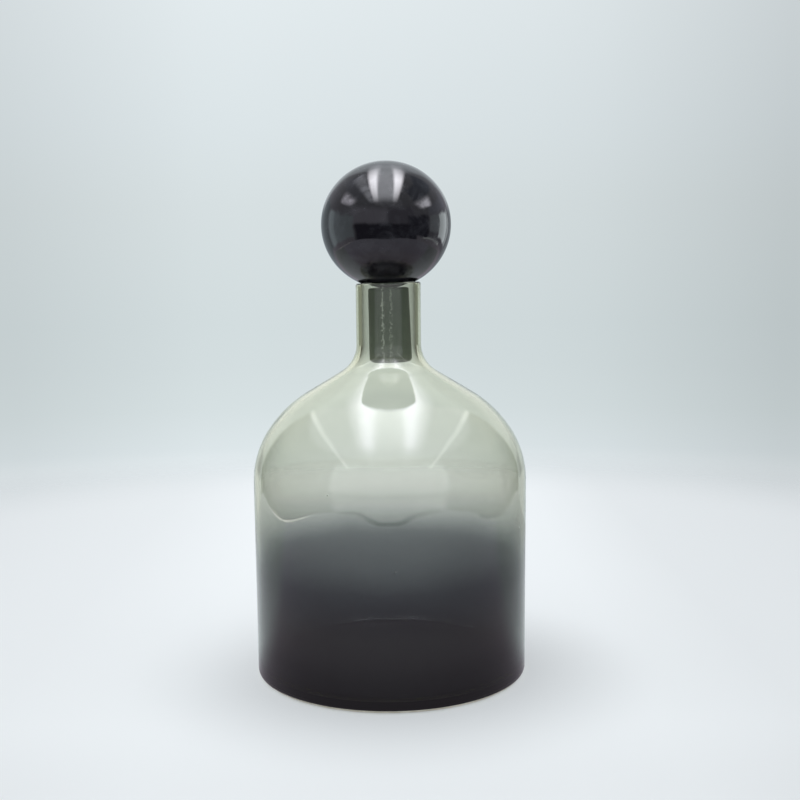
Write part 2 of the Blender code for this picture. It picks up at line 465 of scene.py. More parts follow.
def mix(tree, how, factor, first, second):
    """The colour that one Mix node gives."""
    colours = {0: factor, 6: first, 7: second}
    return add(tree, "Mix", colours, data_type="RGBA", blend_type=how).outputs[2]


def blend(tree, factor, first, second):
    """The first colour where the factor is 0, and the second where it is 1."""
    return mix(tree, "MIX", factor, first, second)


def times(tree, first, second):
    """The product of two colours, or of a colour and a number."""
    return mix(tree, "MULTIPLY", 1.0, first, second)


def plus(tree, first, second):
    """The sum of two colours."""
    return mix(tree, "ADD", 1.0, first, second)


def ramp(tree, factor, stops):
    """A colour ramp through (place, colour) stops."""
    node = add(tree, "ValToRGB", {0: factor})
    while len(node.color_ramp.elements) < len(stops):
        node.color_ramp.elements.new(0.5)
    for element, (place, colour) in zip(node.color_ramp.elements, stops):
        element.position = place
        element.color = (*colour, 1)
    return node.outputs["Color"]


def curve(tree, value, stops, low, high):
    """A number that runs through (value, result) stops. Low and high are the ends of its range."""
    span = high - low
    share = maths(tree, "DIVIDE", minus(tree, value, low), span, clamp=True)
    return ramp(tree, share, [((place - low) / span, (result,) * 3) for place, result in stops])


# %% [markdown]
# Three effects come back on more than one piece, so each is a node group that is built once. The
# first is the skin of blown glass: it is never quite flat, and its long low waves are what makes
# the edges of a reflection wander. The second is the film that hands and a cloth leave, in soft
# blotches. The third is fine specks, which are dust on the polished pieces and pits on the ground
# one. All three could be painted pictures, but noise has no seam and suits a piece of any size.

# %% Helpers for node groups


def new_group(name, plain_values, output):
    """A group that takes a Place and named numbers, and gives one number."""
    group = bpy.data.node_groups.new(name, "ShaderNodeTree")
    group.interface.new_socket("Place", in_out="INPUT", socket_type="NodeSocketVector")
    for socket, value in plain_values.items():
        made = group.interface.new_socket(socket, in_out="INPUT", socket_type="NodeSocketFloat")
        made.default_value = value
    group.interface.new_socket(output, in_out="OUTPUT", socket_type="NodeSocketFloat")
    return group, group.nodes.new("NodeGroupInput").outputs, group.nodes.new("NodeGroupOutput").inputs


def use_group(tree, group, place, **values):
    """Places a group in a material with its own values, and gives the group's result."""
    node = add(tree, "Group", {"Place": place}, node_tree=group)
    set_plain(node, **values)
    return node.outputs[0]


# %% The skin of blown glass
skin_values = {"Wave Length": 0.02, "Upright Stretch": 1.0}
blown_skin, given, result = new_group("blown_skin", skin_values, "Height")
stretch = add(blown_skin, "CombineXYZ", {0: 1.0, 1: 1.0, 2: given["Upright Stretch"]})
stretched = vector_maths(blown_skin, "DIVIDE", given["Place"], stretch.outputs[0])
in_waves = vector_maths(blown_skin, "DIVIDE", stretched, given["Wave Length"])
feed(blown_skin, result["Height"], noise(blown_skin, in_waves, Scale=1.0, Detail=1.0))
print("group", blown_skin.name)

# %% The film left by hands
FILM_TOP = 0.85
FILM_SOFTNESS = 0.3

hand_film, given, result = new_group("hand_film", {"Blotch Size": 0.01, "Cover": 0.5}, "Film")
in_blotches = vector_maths(hand_film, "DIVIDE", given["Place"], given["Blotch Size"])
blotches = noise(hand_film, in_blotches, Scale=1.0, Detail=5.0, Roughness=0.62, Distortion=0.8)
film_start = minus(hand_film, FILM_TOP, given["Cover"])
film_end = maths(hand_film, "ADD", film_start, FILM_SOFTNESS)
feed(hand_film, result["Film"], soft_step(hand_film, blotches, film_start, film_end))
print("group", hand_film.name)

# %% Fine specks
speck_values = {"Spacing": 0.004, "Speck Share": 0.1, "How Many": 0.2}
fine_specks, given, result = new_group("fine_specks", speck_values, "Speck")
in_cells = vector_maths(fine_specks, "DIVIDE", given["Place"], given["Spacing"])
cells = add(fine_specks, "TexVoronoi", {"Vector": in_cells, "Scale": 1.0})
near_middle = maths(fine_specks, "LESS_THAN", cells.outputs["Distance"], given["Speck Share"])
chance = add(fine_specks, "SeparateColor", {0: cells.outputs["Color"]}).outputs[0]
picked = maths(fine_specks, "LESS_THAN", chance, given["How Many"])
feed(fine_specks, result["Speck"], product(fine_specks, near_middle, picked))
print("group", fine_specks.name)

# %% [markdown]
# The bottle is clear olive glass that fades to a smoky near-black below the middle. The olive is in
# the glass itself, so it is a Volume Absorption: light that runs a long way through a wall, as at
# the edges of the neck, comes out darker and greener. The smoke could be absorption as well, but it
# is a thin coat, so it is a colour on the surface that follows the height. Light crosses the near
# wall and the far wall, and the fade that shows is the product of the two. A slanting ray has a
# longer way through the coat, so the colour is raised to a power that grows with the slant. The
# Layer Weight node gives the slant, and the law of refraction gives it inside the glass.

# %% Smoked glass: the olive in the glass
GLASS_IOR = 1.5
OLIVE_DENSITY = 50.0
OLIVE_COLOUR = (0.74, 0.76, 0.28)

smoked, tree, shader = new_material("smoked_glass")
set_plain(shader, Metallic=0.0, IOR=GLASS_IOR, Transmission_Weight=1.0)
olive = add(tree, "VolumeAbsorption", {"Color": OLIVE_COLOUR, "Density": OLIVE_DENSITY})
feed(tree, tree.nodes["Material Output"].inputs["Volume"], olive.outputs[0])
place = add(tree, "TexCoord").outputs["Object"]
place_x, place_y, height = xyz(tree, place)
print("olive density", OLIVE_DENSITY, "per metre")

# %% Smoked glass: the fade
SMOKE_LOW, SMOKE_HIGH = 0.0, 0.25
SMOKE_STOPS = [
    # height in metres, how much of the light one wall lets through
    (0.006, 0.05), (0.019, 0.115), (0.034, 0.145), (0.062, 0.150), (0.0665, 0.158),
    (0.073, 0.190), (0.080, 0.325), (0.087, 0.480), (0.094, 0.600), (0.101, 0.685),
    (0.108, 0.768), (0.116, 0.820), (0.125, 0.865), (0.140, 0.920), (0.160, 0.985),
    (0.185, 1.000), (0.204, 1.000), (0.214, 0.860), (0.250, 0.840),
]
SMOKE_HUE = (1.06, 1.00, 0.96)
FADE_WAVE_LENGTH = 0.045
FADE_WANDER = 0.006
LEAST_INNER_COSINE = 0.6

wobble = use_group(tree, blown_skin, place, Wave_Length=FADE_WAVE_LENGTH, Upright_Stretch=1.0)
wander = product(tree, minus(tree, wobble, 0.5), FADE_WANDER)
thinness = curve(tree, maths(tree, "ADD", height, wander), SMOKE_STOPS, SMOKE_LOW, SMOKE_HIGH)
facing = add(tree, "LayerWeight", {"Blend": 0.5}).outputs["Facing"]
cosine = minus(tree, 1.0, facing)
sine_squared = minus(tree, 1.0, product(tree, cosine, cosine))
bent = minus(tree, 1.0, maths(tree, "DIVIDE", sine_squared, GLASS_IOR**2))
bent_cosine = maths(tree, "SQRT", bent)
inner_cosine = maths(tree, "MAXIMUM", cosine, LEAST_INNER_COSINE)
inside = add(tree, "NewGeometry").outputs["Backfacing"]
glass_cosine = add(tree, "Mix", {0: inside, 2: bent_cosine, 3: inner_cosine}).outputs[0]
slant = maths(tree, "DIVIDE", 1.0, glass_cosine)
channels = [maths(tree, "POWER", thinness, product(tree, slant, hue)) for hue in SMOKE_HUE]
smoke = add(tree, "CombineColor", dict(enumerate(channels))).outputs[0]
feed(tree, shader.inputs["Base Color"], smoke)
print("smoke stops", len(SMOKE_STOPS))

# %% [markdown]
# The bottle's skin has long low waves and a few specks of dust. Inside, where the wall turns into
# the base, blown glass gathers in ripples too fine to model, so a narrow ring there is made slightly
# dull. Without it the corner would catch the lamps in a hard bright line.

# %% Smoked glass: its skin, its dust and its inner corner
WALL_WAVE_LENGTH = 0.016
WALL_STRETCH = 1.6
WALL_WAVE_HEIGHT = 0.00006
SPECK_ROUGHNESS = 0.6
CORNER_ROUGHNESS = 0.12
CORNER_EDGE = 0.0004

skin = use_group(tree, blown_skin, place, Wave_Length=WALL_WAVE_LENGTH, Upright_Stretch=WALL_STRETCH)
feed(tree, shader.inputs["Normal"], bump(tree, WALL_WAVE_HEIGHT, skin))
dust = use_group(tree, fine_specks, place, Spacing=0.02, Speck_Share=0.022, How_Many=0.3)
flat_place = add(tree, "CombineXYZ", {0: place_x, 1: place_y}).outputs[0]
from_axis = vector_maths(tree, "LENGTH", flat_place, result="Value")
corner_start = INNER_FOOT_RADIUS - INNER_HEEL_ROUND
on_ring = between(tree, from_axis, corner_start, INNER_FOOT_RADIUS, CORNER_EDGE)
low_down = maths(tree, "LESS_THAN", height, BASE_THICKNESS + INNER_HEEL_ROUND)
dull_corner = product(tree, on_ring, low_down, CORNER_ROUGHNESS)
dull_specks = product(tree, dust, SPECK_ROUGHNESS)
feed(tree, shader.inputs["Roughness"], maths(tree, "MAXIMUM", dull_specks, dull_corner))
bottle.data.materials.append(smoked)
print("inner corner starts at", round(1000 * corner_start, 1), "mm")

# %% [markdown]
# The ground edge under the heel is bare, cream-coloured glass. It could be rough clear glass, but
# grinding has left it too rough to see into, so it is a plain dull colour with worn blotches.

# %% The foot's edge
FOOT_ROUGHNESS = 0.45
FOOT_WORN = (0.46, 0.44, 0.36)
FOOT_CREAM = (0.60, 0.58, 0.50)

foot_edge, tree, shader = new_material("foot_edge")
set_plain(shader, Roughness=FOOT_ROUGHNESS, IOR=GLASS_IOR)
place = add(tree, "TexCoord").outputs["Object"]
wear = use_group(tree, hand_film, place, Blotch_Size=0.012, Cover=0.45)
feed(tree, shader.inputs["Base Color"], blend(tree, wear, FOOT_WORN, FOOT_CREAM))
bottle.data.materials.append(foot_edge)
print("bottle materials", bottle.data.materials.keys())

# %% [markdown]
# The ball is black glass with a fire-polished skin. It could be real glass with a dark volume, but
# no light gets through it, so it is a near-black base under a sharp gloss. Fingers have left a
# faint film on it, which is a little greyer and scatters the reflections in blotches.

# %% Black glass
BALL_BLACK = (0.0042, 0.0036, 0.0050)
BALL_FILMED = (0.0150, 0.0152, 0.0180)
CLEAN_ROUGHNESS, FILMED_ROUGHNESS = 0.045, 0.17
BALL_SPECK_ROUGHNESS = 0.3
BALL_WAVE_HEIGHT = 0.00002

black, tree, shader = new_material("black_glass")
set_plain(shader, IOR=GLASS_IOR)
place = add(tree, "TexCoord").outputs["Object"]
film = use_group(tree, hand_film, place, Blotch_Size=0.009, Cover=0.45)
feed(tree, shader.inputs["Base Color"], blend(tree, film, BALL_BLACK, BALL_FILMED))
film_roughness = soft_step(tree, film, 0.0, 1.0, CLEAN_ROUGHNESS, FILMED_ROUGHNESS)
dust = use_group(tree, fine_specks, place, Spacing=0.006, Speck_Share=0.045, How_Many=0.25)
dull_specks = product(tree, dust, BALL_SPECK_ROUGHNESS)
feed(tree, shader.inputs["Roughness"], maths(tree, "ADD", film_roughness, dull_specks))
skin = use_group(tree, blown_skin, place, Wave_Length=0.014, Upright_Stretch=1.0)
feed(tree, shader.inputs["Normal"], bump(tree, BALL_WAVE_HEIGHT, skin))
ball.data.materials.append(black)
print("ball roughness from", CLEAN_ROUGHNESS, "to", FILMED_ROUGHNESS)

# %% [markdown]
# The plug is ground all over by turning it against a stone. That leaves a satin, dark grey-green
# skin with fine lines round it and pits that catch the light. The lines and the pits are both bump.
# Its colour is painted darker at the top and paler towards its lower end, a painted reflection of
# the black ball above it. Light soaks into ground glass and comes out again all over. Scattering
# inside the plug would be slow and grainy behind the neck's glass, so the plug has a faint glow of
# its own colour instead.

# %% Ground glass: its colour
# The dark colour is at the top, where a painted reflection of the black ball darkens the plug.
GROUND_DARK = (0.080, 0.100, 0.084)
GROUND_PALE = (0.130, 0.160, 0.128)
GROUND_GLOW = 0.33
GROUND_GLOSS = 0.06
GROUND_ROUGHNESS = 0.36
RUBBED_ROUGHNESS = 0.44
LEAST_PALENESS = 0.7

ground, tree, shader = new_material("ground_glass")
set_plain(shader, IOR=GLASS_IOR, Specular_IOR_Level=GROUND_GLOSS, Emission_Strength=GROUND_GLOW)
place = add(tree, "TexCoord").outputs["Object"]
place_x, place_y, height = xyz(tree, place)
plug_low, plug_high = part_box("stopper_plug")
# Painted reflection: darker towards the ball at the top and paler lower down, with film blotches on
# it.
lower = soft_step(tree, height, plug_high.z, plug_low.z)
film = use_group(tree, hand_film, place, Blotch_Size=0.010, Cover=0.45)
painted_paleness_and_film = product(tree, lower, soft_step(tree, film, 0.0, 1.0, LEAST_PALENESS, 1.0))
ground_and_painted_reflection = blend(tree, painted_paleness_and_film, GROUND_DARK, GROUND_PALE)
roughness = soft_step(tree, film, 0.0, 1.0, GROUND_ROUGHNESS, RUBBED_ROUGHNESS)
feed(tree, shader.inputs["Roughness"], roughness)
print("plug's lower end at", round(1000 * plug_low.z, 1), "mm")

# %% Ground glass: two painted highlight lines on its front
PAINTED_HIGHLIGHT_LINES = [(-0.0034, 1.0), (0.0016, 0.6)]
HIGHLIGHT_COLOUR = (0.34, 0.38, 0.34)
HIGHLIGHT_WANDER = 0.004
HIGHLIGHT_HALF_WIDTH = 0.0012
HIGHLIGHT_CORE = 0.0002
RAGGED_SCALE, BROKEN_SCALE = 420.0, 900.0
BROKEN_FROM, BROKEN_TO = 0.42, 0.58

# Painted highlights: two ragged, broken bright lines down the plug's front, in its colour and its
# glow, where it mirrors the two lamp tubes.
ragged = noise(tree, place, Scale=RAGGED_SCALE, Detail=2.0)
across = maths(tree, "ADD", place_x, product(tree, ragged, HIGHLIGHT_WANDER))
painted_highlights = 0.0
for line_x, line_share in PAINTED_HIGHLIGHT_LINES:
    off_line = maths(tree, "ABSOLUTE", minus(tree, across, line_x + HIGHLIGHT_WANDER / 2))
    on_line = soft_step(tree, off_line, HIGHLIGHT_HALF_WIDTH, HIGHLIGHT_CORE, 0.0, line_share)
    painted_highlights = maths(tree, "MAXIMUM", painted_highlights, on_line)
broken = noise(tree, place, Scale=BROKEN_SCALE, Detail=1.0)
painted_highlights = product(tree, painted_highlights, soft_step(tree, broken, BROKEN_FROM, BROKEN_TO))
painted_highlights = product(tree, painted_highlights, maths(tree, "LESS_THAN", place_y, 0.0))
colour_with_painted_light = blend(tree, painted_highlights, ground_and_painted_reflection, HIGHLIGHT_COLOUR)
feed(tree, shader.inputs["Base Color"], colour_with_painted_light)
feed(tree, shader.inputs["Emission Color"], colour_with_painted_light)
print("stone marks", len(PAINTED_HIGHLIGHT_LINES))

# %% Ground glass: its lines and pits
LINE_STRETCH = (90.0, 90.0, 1500.0)
LINE_DEPTH = 0.00005
PIT_DEPTH = 0.00022

round_lines = vector_maths(tree, "MULTIPLY", place, LINE_STRETCH)
line_normal = bump(tree, LINE_DEPTH, noise(tree, round_lines, Scale=1.0, Detail=2.0))
pits = use_group(tree, fine_specks, place, Spacing=0.0011, Speck_Share=0.42, How_Many=0.55)
feed(tree, shader.inputs["Normal"], bump(tree, PIT_DEPTH, pits, Normal=line_normal))
plug.data.materials.append(ground)
print("materials", [piece.data.materials[0].name for piece in (bottle, ball, plug)])

# %% [markdown]
# The table is a pale disc. It takes the real soft shadow of the bottle, with a painted shade round
# the foot on top of it, and painted shade makes it a little darker towards the camera and to the
# sides. Near its rim it fades into the backdrop, so no horizon line shows from any side. What a
# polished piece mirrors is another matter: there the table is a board with round front corners, a
# dark gap beyond its front edge, and an end behind the bottle. The Light Path node tells the two
# apart, because its Glossy Depth is above zero once a ray has been mirrored.

# %% The table as the camera sees it
TABLE_RADIUS = 0.95
TABLE_DROP = 0.0002
TABLE_STEPS = 96
TABLE_COLOUR = (0.901, 0.943, 0.973)
TABLE_ROUGHNESS = 0.9
# The side stops and the front level are painted shade: they darken the table's colour to the sides and
# towards the camera.
TABLE_SIDE_REACH = 0.45
TABLE_SIDE_STOPS = [
    (-0.45, 0.83), (-0.25, 0.90), (-0.13, 0.99), (-0.08, 1.0), (0.10, 0.98), (0.16, 0.95),
    (0.25, 0.86), (0.45, 0.80),
]
TABLE_FRONT_LEVEL = 0.93
FRONT_FROM_Y, FRONT_TO_Y = -0.09, -0.21

turns = [2 * pi * k / TABLE_STEPS for k in range(TABLE_STEPS)]
table_points = [(TABLE_RADIUS * cos(turn), TABLE_RADIUS * sin(turn), -TABLE_DROP) for turn in turns]
table = mesh_piece("table", table_points, [list(range(TABLE_STEPS))])

paper, tree, shader = new_material("table_top")
paper.cycles.emission_sampling = "NONE"
set_plain(shader, Roughness=TABLE_ROUGHNESS, Specular_IOR_Level=0.0)
where = add(tree, "NewGeometry").outputs["Position"]
where_x, where_y = xyz(tree, where)[:2]
far = vector_maths(tree, "LENGTH", where, result="Value")
# Painted shade: the table's colour is made a little darker to the sides and towards the camera.
side_level = curve(tree, where_x, TABLE_SIDE_STOPS, -TABLE_SIDE_REACH, TABLE_SIDE_REACH)
front_level = soft_step(tree, where_y, FRONT_FROM_Y, FRONT_TO_Y, 1.0, TABLE_FRONT_LEVEL)
table_colour = times(tree, TABLE_COLOUR, product(tree, side_level, front_level))
print("table radius", TABLE_RADIUS)

# %% The bottle's painted soft shade, and the fade into the backdrop
SHADE_REACH, SHADE_FOOT = 0.185, 0.085
SHADE_DEPTH = 0.17
SHADE_AIM = (0.55, -0.83, 0.0)
SHADE_BEHIND, SHADE_AHEAD = -1.7, 0.5
TABLE_GLOW_SHARE = 0.35
TABLE_GLOW = 1.14
FADE_START = 0.60


def mix_looks(tree, factor, first, second):
    """The first shader where the factor is 0, and the second where it is 1."""
    return add(tree, "MixShader", {0: factor, 1: first.outputs[0], 2: second.outputs[0]})


aim = vector_maths(tree, "NORMALIZE", where)
to_shade = vector_maths(tree, "DOT_PRODUCT", aim, SHADE_AIM, result="Value")
# Painted shadow: the table's colour is darkened near the foot, most to the right and in front.
near_foot = soft_step(tree, far, SHADE_REACH, SHADE_FOOT, 0.0, SHADE_DEPTH)
painted_shade = product(tree, near_foot, soft_step(tree, to_shade, SHADE_BEHIND, SHADE_AHEAD))
table_colour = times(tree, table_colour, minus(tree, 1.0, painted_shade))
feed(tree, shader.inputs["Base Color"], table_colour)
own_glow = add(tree, "Emission", {"Color": table_colour, "Strength": TABLE_GLOW})
lit_top = mix_looks(tree, TABLE_GLOW_SHARE, shader, own_glow)
see_through = add(tree, "BsdfTransparent")
fade = soft_step(tree, far, FADE_START, TABLE_RADIUS)
top_and_fade = mix_looks(tree, fade, lit_top, see_through)
print("fades out from", FADE_START, "to", TABLE_RADIUS)

# %% The mirrored board: its colours
BOARD_REACH = 0.60
# Painted shadow: the board that polished pieces mirror is darker close to the bottle's foot, most in
# front, and painted shade makes it lighter on the left and darker on the right.
BOARD_STOPS = [
    # distance from the bottle's axis, colour
    (0.10, (0.36, 0.33, 0.38)), (0.14, (0.42, 0.38, 0.44)), (0.18, (0.55, 0.50, 0.57)),
    (0.22, (0.62, 0.575, 0.645)), (0.32, (0.64, 0.61, 0.73)), (0.37, (0.67, 0.64, 0.76)),
    (0.48, (0.69, 0.68, 0.80)),
]
BACK_BOARD_STOPS = [
    (0.10, (0.80, 0.88, 0.90)), (0.15, (0.92, 0.99, 1.02)), (0.26, (0.92, 0.98, 1.02)),
    (0.36, (0.78, 0.84, 0.87)), (0.46, (0.68, 0.73, 0.74)), (0.58, (0.68, 0.72, 0.73)),
]
BOARD_SIDE_STOPS = [(-0.6, 1.1), (0.0, 1.001), (0.6, 0.902)]
BACK_SIDE_STOPS = [(-0.3, 0.93), (0.3, 0.72)]
BACK_FROM_Y, BACK_TO_Y = -0.03, 0.05


def board_half(stops, side_stops):
    """The colour of one half of the board, from its distance stops and its side stops."""
    scaled = [(distance / BOARD_REACH, colour) for distance, colour in stops]
    colour = ramp(tree, maths(tree, "DIVIDE", far, BOARD_REACH), scaled)
    return times(tree, colour, curve(tree, where_x, side_stops, -BOARD_REACH, BOARD_REACH))


front_half = board_half(BOARD_STOPS, BOARD_SIDE_STOPS)
back_half = board_half(BACK_BOARD_STOPS, BACK_SIDE_STOPS)
board = blend(tree, soft_step(tree, where_y, BACK_FROM_Y, BACK_TO_Y), front_half, back_half)
print("board stops", len(BOARD_STOPS) + len(BACK_BOARD_STOPS))

# %% The mirrored board: its edge, which is lit on the left
BOARD_HALF_WIDTH = 0.580
BOARD_FRONT_Y = -0.585
BOARD_CORNER = 0.42
EDGE_WIDTH = 0.008
EDGE_OVERHANG = 0.001
EDGE_SOFTNESS = 0.003
EDGE_COLOUR = (2.6, 2.5, 2.4)
LIT_FROM_X, LIT_TO_X = 0.0, -0.20
LIT_FRONT_Y, LIT_BACK_Y = -0.24, 0.18
LIT_SOFTNESS = 0.06
LEAST_LIT = 0.06

out_x = minus(tree, maths(tree, "ABSOLUTE", where_x), BOARD_HALF_WIDTH - BOARD_CORNER)
out_y = minus(tree, BOARD_FRONT_Y + BOARD_CORNER, where_y)
corner_x, corner_y = maths(tree, "MAXIMUM", out_x, 0.0), maths(tree, "MAXIMUM", out_y, 0.0)
corner = add(tree, "CombineXYZ", {0: corner_x, 1: corner_y}).outputs[0]
from_corner = vector_maths(tree, "LENGTH", corner, result="Value")
past_edge = minus(tree, from_corner, BOARD_CORNER)
on_edge = between(tree, past_edge, -EDGE_WIDTH, EDGE_OVERHANG, EDGE_SOFTNESS)
lit_left = soft_step(tree, where_x, LIT_FROM_X, LIT_TO_X)
lit_middle = between(tree, where_y, LIT_FRONT_Y, LIT_BACK_Y, LIT_SOFTNESS)
lit = maths(tree, "MAXIMUM", product(tree, lit_left, lit_middle), LEAST_LIT)
board = blend(tree, product(tree, on_edge, lit), board, EDGE_COLOUR)
print("board", 2 * BOARD_HALF_WIDTH, "wide")

# %% The mirrored board: the gap in front of it, and its back
GAP_WIDTH = 0.025
GAP_HALF_LENGTH = 0.40
GAP_SOFTNESS = 0.05
GAP_COLOUR = (0.05, 0.05, 0.06)
BOARD_BACK_Y = 0.42

in_gap = maths(tree, "GREATER_THAN", past_edge, 0.0)
board_and_gap = add(tree, "Emission", {"Color": blend(tree, in_gap, board, GAP_COLOUR)})
gap_start, gap_end = GAP_HALF_LENGTH - GAP_SOFTNESS, GAP_HALF_LENGTH + GAP_SOFTNESS
gap_here = soft_step(tree, maths(tree, "ABSOLUTE", where_x), gap_start, gap_end, GAP_WIDTH, 0.0)
past_gap = maths(tree, "GREATER_THAN", past_edge, gap_here)
past_back = maths(tree, "GREATER_THAN", where_y, BOARD_BACK_Y)
beyond = maths(tree, "MAXIMUM", past_gap, past_back)
mirrored = mix_looks(tree, beyond, board_and_gap, see_through)
print("gap", GAP_WIDTH, "wide")

# %% Which rays see which table


def mirrored_rays(tree):
    """1 for a ray that has been mirrored on its way, and 0 for any other."""
    light_path = add(tree, "LightPath")
    return maths(tree, "GREATER_THAN", light_path.outputs["Glossy Depth"], 0.5)


table_look = mix_looks(tree, mirrored_rays(tree), top_and_fade, mirrored)
feed(tree, tree.nodes["Material Output"].inputs["Surface"], table_look.outputs[0])
table.data.materials.append(paper)
print("table material", paper.name)

# %% [markdown]
# The world does two jobs. Rays that come straight from the camera, or through clear glass, see a
# pale backdrop that is darker at mid height and towards the sides. A big curved sheet could do it,
# but the world has no edge and throws no shadow. Rays that light rough surfaces see plain white.
# Mirrored rays see nothing of it, because the studio has its own shells below. Beside the backdrop
# the room is dim, but only for rays that have gone through glass: it darkens the bottle's limbs.

# %% The backdrop
BACKDROP_LOW, BACKDROP_HIGH = radians(-16), radians(13)
BACKDROP_STOPS = [
    # degrees up, colour
    (-16.0, (0.832, 0.863, 0.896)), (-12.6, (0.823, 0.871, 0.896)), (-10.7, (0.840, 0.890, 0.914)),
    (-9.7, (0.797, 0.858, 0.882)), (-8.8, (0.727, 0.797, 0.821)), (-6.9, (0.680, 0.753, 0.768)),
    (-4.9, (0.658, 0.730, 0.745)), (-2.9, (0.651, 0.723, 0.738)), (2.7, (0.680, 0.745, 0.760)),
    (6.4, (0.716, 0.783, 0.807)), (12.0, (0.768, 0.831, 0.855)),
]
SIDE_REACH = radians(60)
SIDE_STOPS = [
    # degrees to the side, level
    (-60.0, 0.80), (-18.0, 0.86), (-14.2, 0.92), (-9.6, 0.99), (-7.4, 1.0), (0.0, 0.98),
    (6.7, 0.95), (9.6, 0.92), (14.2, 0.84), (18.0, 0.77), (60.0, 0.80),
]

world = bpy.data.worlds.new("studio")
bpy.context.scene.world = world
world.use_nodes = True
tree = world.node_tree
direction = add(tree, "TexCoord").outputs["Generated"]
to_right, to_back, upward = xyz(tree, direction)
elevation = maths(tree, "ARCSINE", upward)
to_side = maths(tree, "ARCTAN2", to_right, to_back)
span = BACKDROP_HIGH - BACKDROP_LOW
level = maths(tree, "DIVIDE", minus(tree, elevation, BACKDROP_LOW), span, clamp=True)
backdrop_stops = [((radians(angle) - BACKDROP_LOW) / span, colour) for angle, colour in BACKDROP_STOPS]
side_stops = [(radians(angle), value) for angle, value in SIDE_STOPS]
side_level = curve(tree, to_side, side_stops, -SIDE_REACH, SIDE_REACH)
backdrop = times(tree, ramp(tree, level, backdrop_stops), side_level)
print("backdrop stops", len(BACKDROP_STOPS))

# %% Which rays see the backdrop
DIM_START, DIM_END = radians(23), radians(62)
DIM_EDGE = radians(4)
DIM_LEVEL = 0.50
PLAIN_LIGHT = (1.0, 1.0, 1.0)
NOTHING = (0.0, 0.0, 0.0)

path = add(tree, "LightPath")
beside = between(tree, maths(tree, "ABSOLUTE", to_side), DIM_START, DIM_END, DIM_EDGE)
not_direct = minus(tree, 1.0, path.outputs["Is Camera Ray"])
dimming = product(tree, beside, not_direct, 1 - DIM_LEVEL)
backdrop = times(tree, backdrop, minus(tree, 1.0, dimming))
plain = blend(tree, path.outputs["Is Diffuse Ray"], backdrop, PLAIN_LIGHT)
background = tree.nodes["Background"]
set_plain(background, Strength=1.0)
feed(tree, background.inputs["Color"], blend(tree, mirrored_rays(tree), plain, NOTHING))
print("world", world.name)

# %% [markdown]
# The ball and the bottle stand in the same studio, but they do not mirror the same parts of it, and
# each has cards and gaps that only it sees. So the studio is a shell for each, far out, and light
# linking gives each shell to its own pieces. A shell and a lamp only add light to mirrored rays and
# let every ray go on, so one never hides another. No two of them lie in one place, because then one
# of the two would be lost. Each card is a soft rectangle of directions. Azimuth 0 is towards the
# camera and grows to the right. Inner cards show only to rays that have also gone through glass:
# they darken what the inner faces of the neck mirror.

# %% A helper for lights that only some pieces mirror


def mirrored_light(name, points, faces, receivers):
    """A mesh light that only adds to what its receivers mirror. Gives its tree and colour socket."""
    piece = mesh_piece(name, points, faces)
    piece.visible_camera = False
    piece.visible_diffuse = False
    piece.visible_shadow = False
    linked = bpy.data.collections.new(name + "_receivers")
    for receiver in receivers:
        linked.objects.link(receiver)
    piece.light_linking.receiver_collection = linked
    made, tree, shader = new_material(name)
    made.cycles.emission_sampling = "NONE"
    tree.nodes.remove(shader)
    glow = add(tree, "Emission", {"Strength": mirrored_rays(tree)})
    clear = add(tree, "BsdfTransparent")
    look = add(tree, "AddShader", {0: clear.outputs[0], 1: glow.outputs[0]})
    feed(tree, tree.nodes["Material Output"].inputs["Surface"], look.outputs[0])
    piece.data.materials.append(made)
    return tree, glow.inputs["Color"]


# %% Helpers for the studio shells
SHELL_STEPS = 48
SHELL_RINGS = 24
WANDER_SCALE, WANDER_DETAIL = 4.0, 4.0


def shell_shape(radius):
    """The points and faces of a round shell."""
    rings = [pi * i / SHELL_RINGS - pi / 2 for i in range(1, SHELL_RINGS)]
    steps = [2 * pi * k / SHELL_STEPS for k in range(SHELL_STEPS)]
    points = [
        (radius * cos(e) * cos(t), radius * cos(e) * sin(t), radius * sin(e))
        for e in rings for t in steps
    ]
    faces = [
        [r * SHELL_STEPS + k, r * SHELL_STEPS + (k + 1) % SHELL_STEPS,
         (r + 1) * SHELL_STEPS + (k + 1) % SHELL_STEPS, (r + 1) * SHELL_STEPS + k]
        for r in range(len(rings) - 1) for k in range(SHELL_STEPS)
    ]
    faces.append(list(range(SHELL_STEPS)))
    faces.append([(len(rings) - 1) * SHELL_STEPS + k for k in range(SHELL_STEPS)])
    return points, faces


def on_card(tree, azimuth, elevation, card):
    """1 on a card and 0 off it, with soft edges."""
    az_low, az_high, el_low, el_high, edge, _ = card
    across = between(tree, azimuth, radians(az_low), radians(az_high), radians(edge))
    upward = between(tree, elevation, radians(el_low), radians(el_high), radians(edge))
    return product(tree, across, upward)


